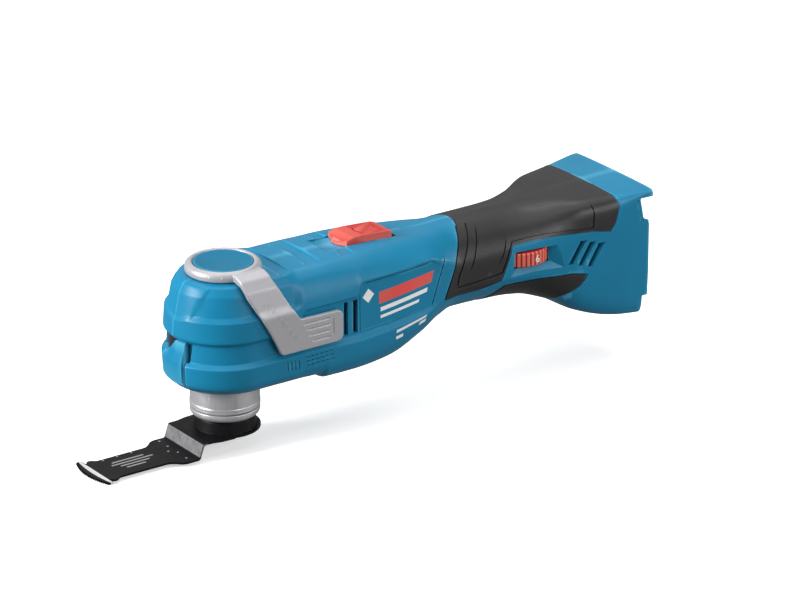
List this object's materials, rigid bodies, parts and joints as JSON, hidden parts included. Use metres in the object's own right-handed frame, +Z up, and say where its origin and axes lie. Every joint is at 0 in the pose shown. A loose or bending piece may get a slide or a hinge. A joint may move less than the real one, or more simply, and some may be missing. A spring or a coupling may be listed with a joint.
{
  "type": "oscillating multi tool",
  "caption": "Cordless oscillating multi tool with keyless lever clamp, cranked plunge blade, slide switch, speed dial and an open battery seat.",
  "frame": {"origin": "centre of the footprint box, on the plane of the blade underside", "axes": "+X from the blade to the battery seat, +Y to the right of the tool, +Z up along the spindle axis"},
  "size_m": [0.353, 0.0732, 0.105],
  "materials": {
    "housing_blue": "finely textured teal blue glass-filled nylon",
    "grip_rubber": "matt black soft-touch elastomer",
    "led_clear": "clear lens",
    "board": "green circuit board",
    "collar_silver": "fine turned silver",
    "lever_silver": "satin silver paint over die casting",
    "cast_alloy": "die cast",
    "ground_steel": "ground",
    "screw_black": "black zinc",
    "blade_black": "black coating with bare bends",
    "brass": "plain",
    "magnet_steel": "laminated",
    "inner_black": "moulded black",
    "rail_steel": "plated strip",
    "switch_red": "red moulded plastic"
  },
  "bodies": {
    "housing": {"left_housing": "housing_blue", "right_housing": "housing_blue", "nose_cap": "housing_blue", "grip_top_left": "grip_rubber", "grip_top_right": "grip_rubber", "grip_low_left": "grip_rubber", "grip_low_right": "grip_rubber", "led_lens": "led_clear", "led_board": "board", "gearbox_housing": "collar_silver", "gearbox_cover": "cast_alloy", "motor_front_shield": "cast_alloy", "motor_rear_shield": "cast_alloy", "upper_spindle_bearing": "ground_steel", "lower_spindle_bearing": "ground_steel", "motor_front_bearing": "ground_steel", "motor_rear_bearing": "ground_steel", "gearbox_screw_1": "ground_steel", "gearbox_screw_2": "ground_steel", "housing_screw_1": "screw_black", "housing_screw_2": "screw_black", "housing_screw_3": "screw_black", "housing_screw_4": "screw_black", "housing_screw_5": "screw_black", "housing_screw_6": "screw_black", "contact_1": "brass", "contact_2": "brass", "contact_3": "brass", "contact_4": "brass", "stator": "magnet_steel", "controller": "inner_black", "switch_module": "inner_black", "potentiometer": "inner_black", "battery_mount": "inner_black", "terminal_block": "inner_black", "battery_wire_black": "inner_black", "battery_rail_top": "rail_steel", "battery_rail_low": "rail_steel", "battery_wire_red": "switch_red"},
    "lever": {"lever": "lever_silver", "lever_cap": "housing_blue"},
    "spindle": {"output_spindle": "ground_steel", "fork_arm": "cast_alloy", "tool_holder": "collar_silver", "blade": "blade_black", "cutting_edge": "ground_steel", "hook_pin_front": "ground_steel", "hook_pin_rear": "ground_steel", "clamp_spring": "ground_steel"},
    "plunger": {"release_plunger": "ground_steel"},
    "hook_front": {"clamp_hook_front": "ground_steel"},
    "hook_rear": {"clamp_hook_rear": "ground_steel"},
    "rotor": {"rotor_shaft": "ground_steel", "eccentric_bearing": "ground_steel", "counterweight": "brass", "cooling_fan": "inner_black", "rotor_core": "magnet_steel"},
    "slider": {"slider_button": "switch_red", "link_rod": "inner_black"},
    "dial": {"speed_dial": "switch_red"}
  },
  "joints": [
    {"name": "spindle_oscillation", "type": "hinge", "parent": "housing", "child": "spindle", "pos_m": [-0.0875, 0, 0.06], "axis": [0, 0, 1], "range_deg": [-1.7, 1.7]},
    {"name": "motor_spin", "type": "hinge", "parent": "housing", "child": "rotor", "pos_m": [-0.0075, 0, 0.065], "axis": [1, 0, 0], "continuous": true},
    {"name": "lever_open", "type": "hinge", "parent": "housing", "child": "lever", "pos_m": [-0.0875, 0, 0.1], "axis": [0, 0, 1], "range_deg": [-110, 0]},
    {"name": "plunger_travel", "type": "slide", "parent": "spindle", "child": "plunger", "axis": [0, 0, 1], "range_m": [-0.004, 0], "deforming": ["clamp_spring"]},
    {"name": "hook_front_swing", "type": "hinge", "parent": "spindle", "child": "hook_front", "pos_m": [-0.0909, 0, 0.025], "axis": [0, 1, 0], "range_deg": [-12, 0]},
    {"name": "hook_rear_swing", "type": "hinge", "parent": "spindle", "child": "hook_rear", "pos_m": [-0.0841, 0, 0.025], "axis": [0, 1, 0], "range_deg": [0, 12]},
    {"name": "switch_slide", "type": "slide", "parent": "housing", "child": "slider", "axis": [1, 0, 0], "range_m": [-0.0075, 0]},
    {"name": "speed_dial_turn", "type": "hinge", "parent": "housing", "child": "dial", "pos_m": [0.1001, -0.0113, 0.072], "axis": [0, 0, 1], "range_deg": [-200, 0]}
  ],
  "couplings": [
    {"joint": "plunger_travel", "follows": "lever_open", "m_per_rad": 0.00208},
    {"joint": "hook_front_swing", "follows": "lever_open", "ratio": 0.109},
    {"joint": "hook_rear_swing", "follows": "lever_open", "ratio": -0.109}
  ]
}
